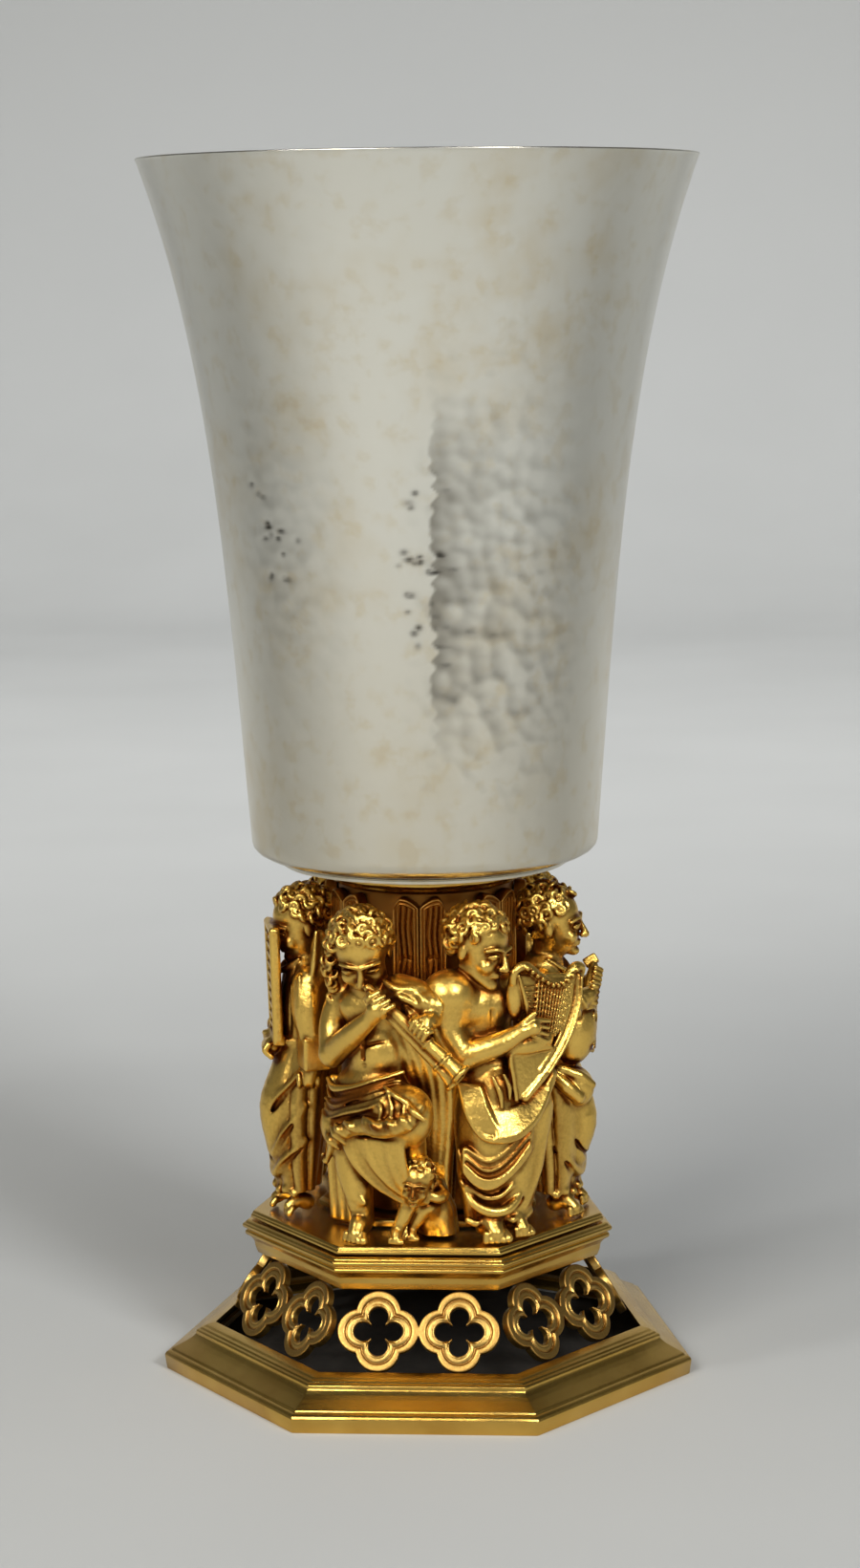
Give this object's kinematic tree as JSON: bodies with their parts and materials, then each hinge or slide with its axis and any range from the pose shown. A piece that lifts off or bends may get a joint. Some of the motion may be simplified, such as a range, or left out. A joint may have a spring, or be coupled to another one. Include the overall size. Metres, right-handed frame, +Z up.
{
  "type": "communion chalice",
  "caption": "Parcel-gilt communion chalice: flared planished silver bowl on a stem of angel musicians, over a moulded platform and a pierced quatrefoil gallery base.",
  "frame": {"origin": "middle of the standing face, on the chalice's axis", "axes": "+Z up along the axis, -Y towards the middle of the front side of the seven-sided base"},
  "size_m": [0.0748, 0.0748, 0.165],
  "materials": {
    "planished_silver": "satin planished silver with hammer marks",
    "gilt_figures": "polished gilt casting with darker recesses",
    "gilt_gallery": "satin gilt",
    "gilt_mouldings": "fine satin gilt with bright arrises",
    "gilt_inner_parts": "dull gilt"
  },
  "bodies": {
    "chalice": {"bowl": "planished_silver", "bowl_foot_disc": "planished_silver", "neck_collar": "gilt_mouldings", "stem_core": "gilt_inner_parts", "core_plinth": "gilt_mouldings", "wing_pair_1": "gilt_figures", "wing_pair_2": "gilt_figures", "wing_pair_3": "gilt_figures", "wing_pair_4": "gilt_figures", "wing_pair_5": "gilt_figures", "wing_pair_6": "gilt_figures", "wing_pair_7": "gilt_figures", "angel_piper": "gilt_figures", "angel_harpist": "gilt_figures", "angel_lute": "gilt_figures", "angel_fiddle": "gilt_figures", "angel_drum": "gilt_figures", "angel_trumpet": "gilt_figures", "angel_psaltery": "gilt_figures", "crouching_child": "gilt_figures", "platform_plate": "gilt_mouldings", "platform_moulding": "gilt_mouldings", "gallery_panel_1": "gilt_gallery", "gallery_panel_2": "gilt_gallery", "gallery_panel_3": "gilt_gallery", "gallery_panel_4": "gilt_gallery", "gallery_panel_5": "gilt_gallery", "gallery_panel_6": "gilt_gallery", "gallery_panel_7": "gilt_gallery", "base_moulding": "gilt_mouldings", "tie_stud": "gilt_inner_parts"},
    "tie_washer": {"tie_washer": "gilt_inner_parts"},
    "tie_nut": {"tie_nut": "gilt_inner_parts"}
  },
  "joints": [
    {"name": "washer_drop", "type": "slide", "parent": "chalice", "child": "tie_washer", "axis": [0, 0, -1], "range_m": [0, 0.0021]},
    {"name": "nut_turn", "type": "hinge", "parent": "tie_washer", "child": "tie_nut", "pos_m": [0, 0, 0.018], "axis": [0, 0, -1], "range_deg": [0, 1080]}
  ],
  "couplings": [
    {"joint": "nut_turn", "follows": "washer_drop", "rad_per_m": 8976}
  ]
}
